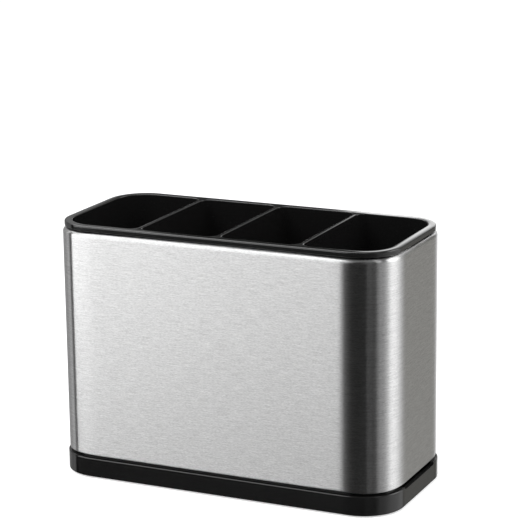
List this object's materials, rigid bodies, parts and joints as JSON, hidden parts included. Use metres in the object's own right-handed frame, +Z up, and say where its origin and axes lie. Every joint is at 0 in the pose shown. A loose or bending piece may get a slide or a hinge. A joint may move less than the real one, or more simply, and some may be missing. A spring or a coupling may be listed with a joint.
{
  "type": "utensil holder",
  "caption": "Free-standing cutlery holder: brushed steel sleeve with rounded corners, lift-out black liner with pockets, black base with a slide-out drip tray.",
  "frame": {"origin": "on the worktop under the middle of the holder", "axes": "+X along the length towards the tray's mouth, -Y towards the front face, +Z up"},
  "size_m": [0.1812, 0.0842, 0.1296],
  "materials": {
    "sleeve_steel": "stainless sheet brushed along its length",
    "liner_plastic": "glossy black moulding",
    "deck_plastic": "plain black moulding",
    "base_plastic": "glossy black moulding",
    "tray_plastic": "glossy black moulding",
    "screw_steel": "plain steel screws",
    "foot_rubber": "matt dark rubber"
  },
  "bodies": {
    "housing": {"steel_sleeve": "sleeve_steel", "drain_deck": "deck_plastic", "base_frame": "base_plastic", "base_screws": "screw_steel", "foot_front_left": "foot_rubber", "foot_front_right": "foot_rubber", "foot_rear_left": "foot_rubber", "foot_rear_right": "foot_rubber"},
    "liner": {"cutlery_liner": "liner_plastic"},
    "tray": {"drip_tray": "tray_plastic"}
  },
  "joints": [
    {"name": "liner_lift", "type": "slide", "parent": "housing", "child": "liner", "axis": [0, 0, 1], "range_m": [0, 0.11]},
    {"name": "tray_slide", "type": "slide", "parent": "housing", "child": "tray", "axis": [1, 0, 0], "range_m": [0, 0.176]}
  ]
}
